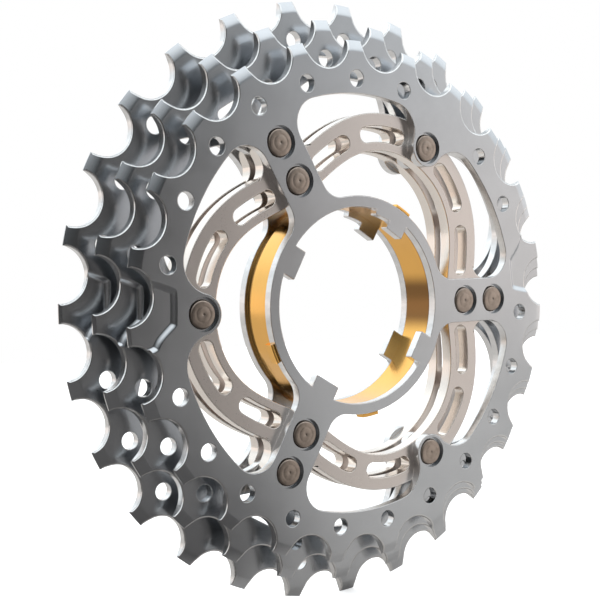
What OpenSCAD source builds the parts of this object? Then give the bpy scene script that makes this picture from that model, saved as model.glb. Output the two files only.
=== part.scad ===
// Three-sprocket cassette cluster: three toothed plates and two slotted carriers riveted into one stack.
// The wheel axis runs along Y. The smallest sprocket faces -Y and +Z is up.
// The origin is on the wheel axis, in the rear face of the largest sprocket.

/* [Stack] */
// Thickness of each sprocket plate
plate_t = 1.7; // [1.5:0.05:1.9]
// Distance from one sprocket to the next
sprocket_step = 4.15; // [3.9:0.05:4.4]

/* [Teeth] */
// Chain pitch
chain_pitch = 12.7; // [12.6:0.05:12.8]
// Teeth on the front sprocket
front_teeth = 23; // [22:1:24]
// Teeth on the middle sprocket
middle_teeth = 25; // [25:1:26]
// Teeth on the rear sprocket
rear_teeth = 27; // [27:1:28]
// Depth of a tooth gap below the pitch circle
seat_depth = 3.87; // [3.7:0.01:4]
// Radius of a tooth gap
gap_r = 4.8; // [4.4:0.1:5]
// Height of the tooth tips above the pitch circle
tip_rise = 0.9; // [0.5:0.1:1.2]
// Depth of the bevel on the front of each tooth tip
front_bevel = 0.75; // [0.4:0.05:0.9]
// Depth of the bevel on the back of each tooth tip
back_bevel = 0.35; // [0.1:0.05:0.5]
// Angle of the front sprocket's top tooth
front_phase = 89.8; // [88:0.1:92]
// Angle of the middle sprocket's tooth next to the top
middle_phase = 94.6; // [93:0.1:96]
// Angle of the rear sprocket's tooth next to the top
rear_phase = 85.7; // [84:0.1:87]

/* [Lightening holes and shift pockets] */
// Diameter of the hole under each tooth
hole_d = 3.05; // [2.5:0.05:3.3]
// Distance from a hole's centre in to the bottom circle of the gaps
hole_inset = 2.03; // [1.9:0.01:2.2]
// Depth of the shift pockets in the front of each sprocket
pocket_depth = 0.55; // [0.3:0.05:0.8]

/* [Hub spline] */
// Radius of the bore between the spline teeth
bore_r = 18; // [17.8:0.1:18.2]
// Outer radius of the splined ring
ring_r = 20; // [19.8:0.1:20.4]
// Radius to the tips of the spline teeth
spline_tip_r = 15.35; // [15.1:0.05:15.6]
// Width of the three wide spline teeth
spline_w = 5.5; // [5:0.1:6]
// Width of the one narrow spline tooth
narrow_spline_w = 4.1; // [3.8:0.1:4.4]
// Radius to the face of the low step beside the narrow tooth
step_r = 17; // [16.8:0.05:17.3]

/* [Arms and windows] */
// Half width of the arms of the front and rear sprockets
arm_half = 4.2; // [3.9:0.1:4.4]
// Half width of the arms of the middle sprocket
middle_arm_half = 3.4; // [3.2:0.1:3.8]
// Corner radius of the three-cornered openings in the arm roots
root_corner_r = 1.1; // [0.9:0.1:1.3]
// Radius of the tab end round an outer rivet
tab_r = 3.5; // [3.4:0.1:3.9]
// Inner radius of the front sprocket's rim
front_rim_r = 38.1; // [37.6:0.1:38.4]
// Inner radius of the middle sprocket's rim
middle_rim_r = 41.4; // [41:0.1:41.8]
// Inner radius of the rear sprocket's rim
rear_rim_r = 45.8; // [45:0.1:46]

/* [Rivets] */
// Radius of the circle of the six outer rivets
outer_rivet_circle = 33.4; // [33.2:0.1:33.6]
// Radius of the circle of the three inner rivets
inner_rivet_circle = 25.95; // [25.8:0.05:26.1]
// Shank radius of a rivet
rivet_r = 2.45; // [2.3:0.05:2.6]
// Radius of the sink round a rivet's end
sink_r = 2.95; // [2.8:0.05:3.1]
// Depth of the sink round a rivet's end
sink_depth = 0.7; // [0.5:0.05:0.8]

/* [Carriers] */
// Mean radius of a carrier's centreline
carrier_mean_r = 29.7; // [29.5:0.1:29.9]
// How far the centreline swings in at the arms and out at the tabs
carrier_swing = 3.7; // [3.5:0.1:3.9]
// Width of a carrier's ring
carrier_w = 6.8; // [6.4:0.1:7.2]
// Width of the slots along a carrier
slot_w = 2.9; // [2.4:0.1:3.1]
// How far the slots lie inside the ring's centreline
slot_shift = 0.4; // [0.2:0.1:0.5]
// Half width of the ears round the arm rivets
ear_half = 4.2; // [4:0.1:4.4]

/* [Spacer ring] */
// Outer radius of the spacer ring
spacer_r = 19.85; // [19.6:0.05:19.9]
// Width of the step at the rear of the spacer ring
spacer_step_w = 1.5; // [1:0.1:2]

/* [Hidden] */
$fn = 96;

steel = [0.62, 0.62, 0.63];
nickel = [0.74, 0.70, 0.66];
gold = [0.85, 0.60, 0.25];
rivet_metal = [0.52, 0.46, 0.41];

arm_angles = [0, 120, 240];
tab_angles = [60, 180, 300];

// Heights in the stack, measured from the rear face of the rear sprocket
gap_t = sprocket_step - plate_t;
rear_z = 0;
rear_carrier_z = plate_t;
middle_z = sprocket_step;
front_carrier_z = sprocket_step + plate_t;
front_z = 2 * sprocket_step;
stack_t = 2 * sprocket_step + plate_t;

// Small overlap for cuts that have to run clear through a face
cut = 0.5;
// How far a round corner crosses the edges that it leads into
blend = 0.03;

function pitch_r(n) = chain_pitch / (2 * sin(180 / n));
function root_r(n) = pitch_r(n) - seat_depth;
function tip_r(n) = pitch_r(n) + tip_rise;
function polar(r, a) = [r * cos(a), r * sin(a)];
function arc(r, a0, a1, steps) = [for (i = [0:steps]) polar(r, a0 + (a1 - a0) * i / steps)];

// Turns a part of the stack from lying flat to standing on edge, its front face towards -Y
module stand() {
    rotate([90, 0, 0]) children();
}

// ---- Sprocket outline ----

// Filled disc with a round gap between each two teeth
module toothed_disc(n, phase) {
    difference() {
        circle(r = tip_r(n), $fn = 4 * n);
        for (k = [0:n - 1])
            rotate(phase + (k + 0.5) * 360 / n)
                translate([root_r(n) + gap_r, 0]) circle(r = gap_r);
    }
}

// Material that fills the corner between an arm's edge, at height h, and the inside of a rim
module rim_corner(h, rim, fillet) {
    cy = h + fillet;
    cx = sqrt(pow(rim - fillet, 2) - pow(cy, 2));
    corner_x = sqrt(pow(rim, 2) - pow(h, 2));
    outer = (rim + 1.5) / (rim - fillet);
    difference() {
        polygon([
            [cx, cy],
            [cx, h - 1],
            [corner_x + 1, h - 1],
            [corner_x + 1.5, h + 1],
            [cx * outer, cy * outer]
        ]);
        translate([cx, cy]) circle(r = fillet + blend);
    }
}

// Material that fills the corner between an arm's edge, at height h, and the outside of the splined ring
module ring_corner(h, fillet) {
    cy = h + fillet;
    cx = sqrt(pow(ring_r + fillet, 2) - pow(cy, 2));
    inner = (ring_r - 0.5) / (ring_r + fillet);
    difference() {
        polygon([
            [cx, cy],
            [cx * inner, cy * inner],
            [sqrt(pow(ring_r, 2) - pow(h, 2)) - 0.5, h - 1],
            [cx, h - 1]
        ]);
        translate([cx, cy]) circle(r = fillet + blend);
    }
}

// Material that fills the corner between a tab's round end and the inside of a rim
module tab_corner(end_r, rim, fillet) {
    c_r = rim - fillet;
    reach = end_r + fillet;
    cx = (pow(outer_rivet_circle, 2) + pow(c_r, 2) - pow(reach, 2)) / (2 * outer_rivet_circle);
    cy = sqrt(pow(c_r, 2) - pow(cx, 2));
    outer = (rim + 1.5) / c_r;
    difference() {
        polygon([[cx, cy], [outer_rivet_circle, 0], [rim + 1.5, 0], [cx * outer, cy * outer]]);
        translate([cx, cy]) circle(r = fillet + blend);
    }
}

module both_sides() {
    children();
    mirror([0, 1]) children();
}

// Straight arm from radius r0 out to the rim
module arm(h, r0, rim) {
    translate([r0, -h]) square([rim + 1 - r0, 2 * h]);
}

// Tab from the rim to a round end about its rivet
module tab(end_r, rim, fillet) {
    translate([outer_rivet_circle, 0]) circle(r = end_r);
    both_sides() tab_corner(end_r, rim, fillet);
}

// Three-cornered opening in the root of each arm: its tip points to the axis, its outer side spans twice half
module root_openings(tip_u, outer_u, half) {
    lean = atan2(half, outer_u - tip_u);
    side = root_corner_r * [-sin(lean), cos(lean)];
    upper = [[tip_u, 0] + side, [outer_u, half] + side, [outer_u + root_corner_r, half]];
    lower = [for (i = [2:-1:0]) [upper[i].x, -upper[i].y]];
    translate([0, 0, -cut])
        linear_extrude(plate_t + 2 * cut)
            for (a = arm_angles)
                rotate(a) {
                    polygon(concat(upper, lower));
                    for (centre = [[tip_u, 0], [outer_u, half], [outer_u, -half]])
                        translate(centre) circle(r = root_corner_r + blend);
                }
}

// Splined ring: a bore with three wide teeth and a narrow one, which has a low step beside it
wide_spline_angles = [150.5, 239.5, 329.5];
narrow_spline_angle = 58;
step_end_angle = 76.5;

module spline_tooth(a, w) {
    rotate(a) translate([spline_tip_r, -w / 2]) square([ring_r - spline_tip_r, w]);
}

module spline_step() {
    corner = 0.4;
    outer = ring_r - 0.5;
    polygon(concat(
        arc(step_r, narrow_spline_angle, step_end_angle - 1.4, 6),
        [polar(step_r + corner / 3, step_end_angle - 0.4), polar(step_r + corner, step_end_angle)],
        arc(outer, step_end_angle, narrow_spline_angle, 4)
    ));
}

module spline_ring() {
    difference() {
        circle(r = ring_r);
        difference() {
            circle(r = bore_r);
            for (a = wide_spline_angles) spline_tooth(a, spline_w);
            spline_tooth(narrow_spline_angle, narrow_spline_w);
            spline_step();
        }
    }
}

// Whole outline of the front or rear sprocket, with the splined ring
module splined_outline(n, phase, rim, arm_fillet, tab_end_r, tab_fillet) {
    difference() {
        toothed_disc(n, phase);
        circle(r = rim, $fn = 180);
    }
    spline_ring();
    for (a = arm_angles)
        rotate(a) {
            arm(arm_half, ring_r - 1, rim);
            both_sides() {
                rim_corner(arm_half, rim, arm_fillet);
                ring_corner(arm_half, 4);
            }
        }
    for (a = tab_angles) rotate(a) tab(tab_end_r, rim, tab_fillet);
}

// Outline of the middle sprocket, whose arms end round the inner rivets
module middle_outline(n, phase, rim, fillet) {
    difference() {
        toothed_disc(n, phase);
        circle(r = rim, $fn = 180);
    }
    for (a = arm_angles)
        rotate(a) {
            arm(middle_arm_half, inner_rivet_circle, rim);
            translate([inner_rivet_circle, 0]) circle(r = middle_arm_half + blend);
        }
    for (a = concat(arm_angles, tab_angles)) rotate(a) tab(tab_r, rim, fillet);
}

// ---- Sprocket details ----

// Solid of revolution that bevels the tooth tips at the front and, less, at the back
module tip_envelope(n) {
    tip = tip_r(n) + 0.01;
    front_start = pitch_r(n) - 1.2;
    back_start = pitch_r(n) - 0.3;
    rotate_extrude($fn = 180)
        polygon([
            [0, 0], [back_start, 0], [tip, back_bevel],
            [tip, plate_t - front_bevel], [front_start, plate_t], [0, plate_t]
        ]);
}

// Rivet holes with a sink at one face: in the front face if front is true, in the rear face if not
module rivet_holes(front, sunk, inner) {
    sink_z = front ? plate_t - sink_depth : -cut;
    for (a = concat(arm_angles, tab_angles))
        rotate(a) translate([outer_rivet_circle, 0]) {
            translate([0, 0, -cut]) cylinder(r = rivet_r, h = plate_t + 2 * cut);
            if (sunk) translate([0, 0, sink_z]) cylinder(r = sink_r, h = sink_depth + cut);
        }
    if (inner)
        for (a = arm_angles)
            rotate(a) translate([inner_rivet_circle, 0]) {
                translate([0, 0, -cut]) cylinder(r = rivet_r, h = plate_t + 2 * cut);
                if (sunk) translate([0, 0, sink_z]) cylinder(r = sink_r, h = sink_depth + cut);
            }
}

// Angle from a direction to the arm nearest to it
function arm_distance(a) = abs((a + 60) % 120 - 60);

// Row of small holes, one under each tooth but those near an arm and those in the list of teeth to skip
module small_holes(n, phase, arm_clearance, skip) {
    for (k = [0:n - 1])
        if (arm_distance(phase + k * 360 / n) >= arm_clearance && len(search(k, skip)) == 0)
            rotate(phase + k * 360 / n) translate([root_r(n) - hole_inset, 0, -cut])
                cylinder(d = hole_d, h = plate_t + 2 * cut, $fn = 32);
}

// Shallow shift pocket in the front face, which runs out over the teeth on both sides of its centre
module shift_pocket(n, a) {
    inner = root_r(n) - 4.26;
    out = tip_r(n) + 2;
    s = front_teeth / n;
    rotate(a) translate([0, 0, plate_t - pocket_depth])
        linear_extrude(height = pocket_depth + cut)
            polygon([
                polar(inner + 0.35, -5.1 * s), polar(inner, -4.4 * s), polar(inner, 3.4 * s),
                polar(inner + 0.25, 4.2 * s), polar(inner + 1, 5 * s), polar(inner + 2.1, 6.2 * s),
                polar(inner + 3.2, 7.4 * s), polar(inner + 3.8, 8.5 * s), polar(inner + 4.1, 9.3 * s),
                polar(out, 10.5 * s), polar(out, -7 * s), polar(inner + 4.8, -6.6 * s),
                polar(inner + 1.2, -5.6 * s)
            ]);
}

module sprocket(n, phase, pockets) {
    difference() {
        intersection() {
            linear_extrude(height = plate_t) children();
            tip_envelope(n);
        }
        for (a = pockets) shift_pocket(n, a);
    }
}

// ---- Carriers ----

function carrier_r(a) = carrier_mean_r - carrier_swing * cos(3 * a) + 0.45 * (1 - cos(6 * a));
function carrier_mid(a) = polar(carrier_r(a), a);
function carrier_tangent(a) = carrier_mid(a + 0.5) - carrier_mid(a - 0.5);
function carrier_side(a, d) =
    let (t = carrier_tangent(a))
    carrier_mid(a) + d * [t[1], -t[0]] / norm(t);

// Closed loop at distance d outside the centreline
module carrier_loop(d) {
    polygon([for (a = [0:2.5:357.5]) carrier_side(a, d)]);
}

// Slot with round ends just inside the centreline, its ends at angles start and end
module carrier_slot(start, end) {
    steps = 6;
    a0 = start + asin(slot_w / 2 / carrier_r(start));
    a1 = end - asin(slot_w / 2 / carrier_r(end));
    polygon(concat(
        [for (i = [0:steps]) carrier_side(a0 + (a1 - a0) * i / steps, slot_w / 2 - slot_shift)],
        [for (i = [steps:-1:0]) carrier_side(a0 + (a1 - a0) * i / steps, -slot_w / 2 - slot_shift)]
    ));
    translate(carrier_side(a0, -slot_shift)) circle(r = slot_w / 2 + blend, $fn = 32);
    translate(carrier_side(a1, -slot_shift)) circle(r = slot_w / 2 + blend, $fn = 32);
}

// Centre angle of the round corner between an ear and the ring's outer edge, by repeated correction
ear_fillet = 3;
function ring_edge_r(a) = norm(carrier_side(a, carrier_w / 2));
function ear_corner_angle(a, turns) =
    turns == 0 ? a : ear_corner_angle(asin((ear_half + ear_fillet) / (ring_edge_r(a) + ear_fillet)), turns - 1);

module ear() {
    translate([outer_rivet_circle, 0]) circle(r = ear_half + blend);
    translate([inner_rivet_circle, -ear_half]) square([outer_rivet_circle - inner_rivet_circle, 2 * ear_half]);
    a = ear_corner_angle(12, 6);
    c = polar(ring_edge_r(a) + ear_fillet, a);
    both_sides()
        difference() {
            polygon([[c[0], ear_half - 1], c, polar(ring_edge_r(a) - 0.6, a), polar(ring_edge_r(a) - 2, a - 5)]);
            translate(c) circle(r = ear_fillet + blend);
        }
}

// Angles from an arm to the two ends of its near slot and of its far slot
near_slot = [10.3, 28.7];
far_slot = [33.5, 52];

module carrier() {
    linear_extrude(height = gap_t)
        difference() {
            union() {
                carrier_loop(carrier_w / 2);
                for (a = arm_angles) rotate(a) ear();
            }
            carrier_loop(-carrier_w / 2);
            for (a = arm_angles)
                rotate(a)
                    both_sides() {
                        carrier_slot(near_slot[0], near_slot[1]);
                        carrier_slot(far_slot[0], far_slot[1]);
                    }
            for (a = arm_angles) {
                rotate(a) translate([outer_rivet_circle, 0]) circle(r = rivet_r);
                rotate(a) translate([inner_rivet_circle, 0]) circle(r = rivet_r);
            }
            for (a = tab_angles) rotate(a) translate([outer_rivet_circle, 0]) circle(r = rivet_r);
        }
}

// ---- Rivets ----

// Rivet through the whole stack, its ends just under the outer faces
module rivet() {
    end_inset = 0.12;
    edge = 0.35;
    half = stack_t / 2 - end_inset;
    translate([0, 0, stack_t / 2])
        rotate_extrude()
            polygon([
                [0, -half], [rivet_r - edge, -half], [rivet_r, -half + edge],
                [rivet_r, half - edge], [rivet_r - edge, half], [0, half]
            ]);
}

module outer_rivet(i) {
    color(rivet_metal) stand() rotate(60 * (i - 1)) translate([outer_rivet_circle, 0]) rivet();
}

module inner_rivet(i) {
    color(rivet_metal) stand() rotate(120 * (i - 1)) translate([inner_rivet_circle, 0]) rivet();
}

// ---- Named parts ----

module front_sprocket() {
    color(steel) stand() translate([0, 0, front_z])
        difference() {
            sprocket(front_teeth, front_phase, [7.5, 178.5])
                splined_outline(front_teeth, front_phase, front_rim_r, 4.6, tab_r, 5.5);
            small_holes(front_teeth, front_phase, 0, [6, 18, 21]);
            rivet_holes(front = true, sunk = true, inner = true);
        }
}

module middle_sprocket() {
    color(steel) stand() translate([0, 0, middle_z])
        difference() {
            sprocket(middle_teeth, middle_phase, [5, 177.5])
                middle_outline(middle_teeth, middle_phase, middle_rim_r, 10);
            small_holes(middle_teeth, middle_phase, 12, [6]);
            root_openings(38.6, 42, 5.4);
            rivet_holes(front = true, sunk = false, inner = true);
        }
}

module rear_sprocket() {
    color(steel) stand() translate([0, 0, rear_z])
        difference() {
            sprocket(rear_teeth, rear_phase, [2.5, 176.5])
                splined_outline(rear_teeth, rear_phase, rear_rim_r, 11.4, arm_half, 11.4);
            small_holes(rear_teeth, rear_phase, 12, [7]);
            root_openings(39.4, 42.9, 6.3);
            rivet_holes(front = false, sunk = true, inner = true);
        }
}

module front_carrier() {
    color(nickel) stand() translate([0, 0, front_carrier_z]) carrier();
}

module rear_carrier() {
    color(nickel) stand() translate([0, 0, rear_carrier_z]) carrier();
}

// Angles of the three tongues that reach forward over the front sprocket's splined ring
tongue_angles = [58, 202, 276];

module spacer_ring() {
    length = 2 * sprocket_step - plate_t;
    flat_depth = 0.45;
    tongue_t = 0.7;
    tongue_gap = 0.02;
    tongue_h = 1.3;
    color(gold) stand() translate([0, 0, plate_t])
        difference() {
            union() {
                rotate_extrude()
                    polygon([
                        [bore_r, 0], [spacer_r - 0.5, 0], [spacer_r - 0.5, spacer_step_w - 0.2],
                        [spacer_r, spacer_step_w + 0.3], [spacer_r, length], [bore_r, length]
                    ]);
                for (a = tongue_angles)
                    rotate(a - 5)
                        rotate_extrude(angle = 10)
                            polygon([
                                [spacer_r - 0.6, length - 1.2], [ring_r + tongue_t, length - 0.6],
                                [ring_r + tongue_t, length + tongue_h], [ring_r + tongue_gap, length + tongue_h],
                                [ring_r + tongue_gap, length - 0.001], [spacer_r - 0.6, length - 0.001]
                            ]);
            }
            rotate(214) translate([spacer_r - flat_depth, -8, -cut]) cube([3, 16, length + cut - 1.4]);
        }
}

front_sprocket();
middle_sprocket();
rear_sprocket();
front_carrier();
rear_carrier();
spacer_ring();
outer_rivet(1);  // outer_rivet_1
outer_rivet(2);  // outer_rivet_2
outer_rivet(3);  // outer_rivet_3
outer_rivet(4);  // outer_rivet_4
outer_rivet(5);  // outer_rivet_5
outer_rivet(6);  // outer_rivet_6
inner_rivet(1);  // inner_rivet_1
inner_rivet(2);  // inner_rivet_2
inner_rivet(3);  // inner_rivet_3
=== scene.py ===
"""Cassette sprocket cluster: three toothed plates, two slotted carriers, a spacer ring and nine rivets."""

import cmath
import math

import bmesh
import bpy
import numpy as np
from bpy.props import FloatProperty, FloatVectorProperty, IntProperty, PointerProperty
from mathutils import Matrix, Vector
from mathutils.geometry import delaunay_2d_cdt


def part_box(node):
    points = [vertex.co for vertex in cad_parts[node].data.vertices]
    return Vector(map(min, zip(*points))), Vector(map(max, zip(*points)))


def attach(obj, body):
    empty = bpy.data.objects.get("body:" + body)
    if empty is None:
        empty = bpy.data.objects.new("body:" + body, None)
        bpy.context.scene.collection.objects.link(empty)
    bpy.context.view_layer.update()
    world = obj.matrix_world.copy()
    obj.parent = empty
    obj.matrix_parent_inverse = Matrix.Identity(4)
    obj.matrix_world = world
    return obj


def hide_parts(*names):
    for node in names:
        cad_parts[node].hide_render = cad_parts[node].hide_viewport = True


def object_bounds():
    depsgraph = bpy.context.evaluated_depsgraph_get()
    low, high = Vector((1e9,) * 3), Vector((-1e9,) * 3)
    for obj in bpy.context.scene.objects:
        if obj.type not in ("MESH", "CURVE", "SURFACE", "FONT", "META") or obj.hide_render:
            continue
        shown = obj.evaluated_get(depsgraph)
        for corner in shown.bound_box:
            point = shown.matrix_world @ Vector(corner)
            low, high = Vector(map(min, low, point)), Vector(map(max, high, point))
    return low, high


bl_info = {
    "name": "Cassette sprocket cluster",
    "version": (1, 0, 0),
    "blender": (4, 5, 0),
    "location": "3D View > Sidebar > Cassette",
    "description": "Builds a riveted cluster of chain sprockets with its carriers, spacer ring and rivets",
    "category": "Add Mesh",
}

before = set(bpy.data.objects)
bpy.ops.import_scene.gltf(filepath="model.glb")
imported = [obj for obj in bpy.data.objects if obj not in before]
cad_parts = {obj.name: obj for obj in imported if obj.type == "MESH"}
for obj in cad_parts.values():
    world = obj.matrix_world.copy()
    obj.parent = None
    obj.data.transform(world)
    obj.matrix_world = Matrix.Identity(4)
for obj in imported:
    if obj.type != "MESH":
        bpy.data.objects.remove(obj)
cad_low, cad_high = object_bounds()

MM = 0.001
ARM_ANGLES = (0, 120, 240)
TAB_ANGLES = (60, 180, 300)


# ---- Sizes and colours ----


def length(name, description, default):
    """A length in millimetres that the user may change."""
    return FloatProperty(name=name, description=description, default=default, min=0.01, max=200)


def angle(name, description, default):
    """An angle in degrees that the user may change."""
    return FloatProperty(name=name, description=description, default=default, min=-360, max=360)


def tint(name, description, default):
    """A colour that the user may change."""
    return FloatVectorProperty(
        name=name, description=description, default=default, subtype="COLOR", size=3, min=0, max=1
    )


class ToothSizes(bpy.types.PropertyGroup):
    """Sizes that the three sprockets share, in millimetres and degrees."""

    pitch: length("Chain pitch", "Distance between the chain's pins", 12.7)
    seat_depth: length("Seat depth", "Depth of a tooth gap below the pitch circle", 3.87)
    gap_radius: length("Gap radius", "Radius of a tooth gap", 4.8)
    tip_rise: length("Tip rise", "Height of the tips above the pitch circle", 0.9)
    front_bevel: length("Front bevel", "Depth of the bevel on the front of the tips", 0.75)
    back_bevel: length("Back bevel", "Depth of the bevel on the back of the tips", 0.35)
    front_bevel_width: length("Front bevel width", "How far below the pitch circle the front bevel starts", 1.2)
    edge_round: length("Edge round", "Width of the rounded edge of the plates", 0.14)
    tooth_round: length("Tooth round", "Width of the rounded edge of the teeth", 0.34)
    hole_radius: length("Hole radius", "Radius of the small hole under each tooth", 1.525)
    hole_inset: length("Hole inset", "Distance from a hole's centre to the bottom circle of the gaps", 2.03)
    pocket_depth: length("Pocket depth", "Depth of the shift pockets", 0.55)
    pocket_slope: length("Pocket slope", "Width of the sloped wall round a shift pocket", 1.15)
    front_teeth: IntProperty(name="Front teeth", description="Teeth on the front sprocket", default=23)
    middle_teeth: IntProperty(name="Middle teeth", description="Teeth on the middle sprocket", default=25)
    rear_teeth: IntProperty(name="Rear teeth", description="Teeth on the rear sprocket", default=27)
    front_phase: angle("Front phase", "Angle of the front sprocket's top tooth", 89.8)
    middle_phase: angle("Middle phase", "Angle of the middle sprocket's tooth next to the top", 94.6)
    rear_phase: angle("Rear phase", "Angle of the rear sprocket's tooth next to the top", 85.7)


class WindowSizes(bpy.types.PropertyGroup):
    """Sizes of the splined ring, arms and windows, in millimetres."""

    bore: length("Bore radius", "Radius of the bore between the spline teeth", 18)
    ring: length("Ring radius", "Outer radius of the splined ring", 20)
    spline_tip: length("Spline tip radius", "Radius to the tips of the spline teeth", 15.35)
    spline_width: length("Spline width", "Width of the three wide spline teeth", 5.5)
    narrow_width: length("Narrow spline width", "Width of the one narrow spline tooth", 4.1)
    step: length("Step radius", "Radius to the face of the step beside the narrow tooth", 17)
    arm: length("Arm half width", "Half width of the arms of the front and rear sprockets", 4.2)
    middle_arm: length("Middle arm half width", "Half width of the arms of the middle sprocket", 3.4)
    tab: length("Tab radius", "Radius of the tab end round an outer rivet", 3.5)
    front_rim: length("Front rim", "Inner radius of the front sprocket's rim", 38.1)
    middle_rim: length("Middle rim", "Inner radius of the middle sprocket's rim", 41.4)
    rear_rim: length("Rear rim", "Inner radius of the rear sprocket's rim", 45.8)


class RivetSizes(bpy.types.PropertyGroup):
    """Sizes of the rivets and their sinks, in millimetres."""

    outer_circle: length("Outer circle", "Radius of the circle of the six outer rivets", 33.4)
    inner_circle: length("Inner circle", "Radius of the circle of the three inner rivets", 25.95)
    shank: length("Shank radius", "Radius of a rivet", 2.45)
    sink: length("Sink radius", "Radius of the sink round a rivet's end", 2.95)
    sink_depth: length("Sink depth", "Depth of the sink round a rivet's end", 0.7)
    edge: length("Edge radius", "Rounding of a rivet's end", 0.35)


class CarrierSizes(bpy.types.PropertyGroup):
    """Sizes of the two slotted carriers, in millimetres."""

    mean: length("Mean radius", "Mean radius of the ring's centreline", 29.7)
    swing: length("Swing", "How far the centreline swings in at the arms and out at the tabs", 3.7)
    width: length("Width", "Width of the ring", 6.8)
    slot: length("Slot width", "Width of the slots", 2.9)
    slot_shift: length("Slot shift", "How far the slots lie inside the centreline", 0.4)
    ear: length("Ear half width", "Half width of the ears round the arm rivets", 4.2)
    ear_corner: length("Ear corner", "Radius of the corner between an ear and the ring", 3.0)
    edge_round: length("Edge round", "Width of the rounded edge", 0.16)


class SpacerSizes(bpy.types.PropertyGroup):
    """Sizes of the spacer ring, in millimetres."""

    step_width: length("Step width", "Width of the step at the rear of the ring", 1.5)
    step_depth: length("Step depth", "Depth of that step", 0.5)
    flat: length("Flat depth", "Depth of the flat on the ring's outside", 0.45)
    tongue: length("Tongue thickness", "Thickness of the tongues over the front sprocket's ring", 0.7)
    tongue_reach: length("Tongue reach", "How far the tongues reach forward of the ring's end", 1.3)


class FinishColours(bpy.types.PropertyGroup):
    """Colours of the finishes."""

    steel: tint("Plated steel", "Faces of the sprockets", (0.582, 0.60, 0.622))
    cut_steel: tint("Cut steel", "Punched edges of the sprockets", (0.80, 0.80, 0.80))
    nickel: tint("Carrier metal", "Faces of the carriers", (0.79, 0.725, 0.685))
    cut_nickel: tint("Carrier edges", "Milled edges of the carriers", (0.88, 0.82, 0.76))
    gold: tint("Gold anodising", "Spacer ring", (0.90, 0.50, 0.135))
    bronze: tint("Rivet metal", "Ends of the rivets", (0.40, 0.33, 0.28))
    floor: tint("Floor", "Floor under the cluster", (0.93, 0.93, 0.93))


# ---- Plane outlines: complex numbers in millimetres, x + iz ----


def polar(radius, degrees):
    """Point at a radius and a direction."""
    return cmath.rect(radius, math.radians(degrees))


def heading(point):
    """Direction of a point from the origin, in degrees."""
    return math.degrees(cmath.phase(point))


def unwrapped(degrees, after):
    """The same direction, as the first angle at or above another."""
    while degrees < after:
        degrees += 360
    while degrees >= after + 360:
        degrees -= 360
    return degrees


def arc(centre, radius, start, end, step=0.42):
    """Points along an arc from start to end degrees, whichever way round that is."""
    count = max(2, math.ceil(abs(math.radians(end - start)) * radius / step))
    return [centre + polar(radius, start + (end - start) * i / count) for i in range(count + 1)]


def left_arc(centre, radius, start, end, step=0.42):
    """Arc that turns left from direction start to direction end."""
    return arc(centre, radius, start, unwrapped(end, start), step)


def right_arc(centre, radius, start, end, step=0.42):
    """Arc that turns right from direction start to direction end."""
    return arc(centre, radius, start, -unwrapped(-end, -start), step)


def line(a, b, step=1.5):
    """Points along a straight line."""
    count = max(1, math.ceil(abs(b - a) / step))
    return [a + (b - a) * i / count for i in range(count + 1)]


def softened(before, corner, after, radius, count=3):
    """Short curve that rounds a sharp corner."""
    a = corner + (before - corner) / abs(before - corner) * min(radius, abs(before - corner) / 2)
    b = corner + (after - corner) / abs(after - corner) * min(radius, abs(after - corner) / 2)
    steps = [i / count for i in range(count + 1)]
    return [(1 - t) ** 2 * a + 2 * t * (1 - t) * corner + t * t * b for t in steps]


def turned(points, degrees):
    """The points turned left about the origin."""
    turn = polar(1, degrees)
    return [p * turn for p in points]


def mirrored(points, degrees):
    """The points mirrored in the line through the origin at an angle, in reverse order."""
    turn = polar(1, 2 * degrees)
    return [turn * p.conjugate() for p in reversed(points)]


def cleaned(points, least=0.03):
    """Closed loop with points that nearly coincide taken out."""
    kept = []
    for p in points:
        if not kept or abs(p - kept[-1]) > least:
            kept.append(p)
    while abs(kept[0] - kept[-1]) <= least:
        kept.pop()
    return np.array(kept)


def offset_left(loop, distance):
    """Closed loop moved to its left, corner to corner."""
    ahead = np.roll(loop, -1) - loop
    ahead = ahead / np.abs(ahead)
    behind = np.roll(ahead, 1)
    n1, n2 = 1j * behind, 1j * ahead
    agree = np.real(n1 * np.conj(n2))
    return loop + distance * (n1 + n2) / np.maximum(1 + agree, 0.35)


def circle(centre, radius, count=64):
    return centre + radius * np.exp(2j * np.pi * np.arange(count) / count)


def inside(points, loops):
    """Whether each point is inside an odd number of loops."""
    odd = np.zeros(len(points), bool)
    for loop in loops:
        a, b = loop, np.roll(loop, -1)
        px, py = points.real[:, None], points.imag[:, None]
        ay, by = a.imag[None, :], b.imag[None, :]
        rise = np.where(by == ay, 1e-12, by - ay)
        cross = (ay > py) != (by > py)
        x = a.real[None, :] + (py - ay) * (b.real - a.real)[None, :] / rise
        odd ^= ((cross & (px < x)).sum(1) % 2).astype(bool)
    return odd


def distance_to(points, loop):
    """Distance from each point to a closed loop."""
    a, d = loop[None, :], (np.roll(loop, -1) - loop)[None, :]
    p = points[:, None] - a
    t = np.clip(np.real(p * np.conj(d)) / np.abs(d) ** 2, 0, 1)
    return np.abs(p - t * d).min(1)


def smoothstep(t):
    t = np.clip(t, 0, 1)
    return t * t * (3 - 2 * t)


# ---- Sprocket outlines ----


def pitch_radius(sizes, teeth):
    return sizes.pitch / 2 / math.sin(math.pi / teeth)


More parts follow.
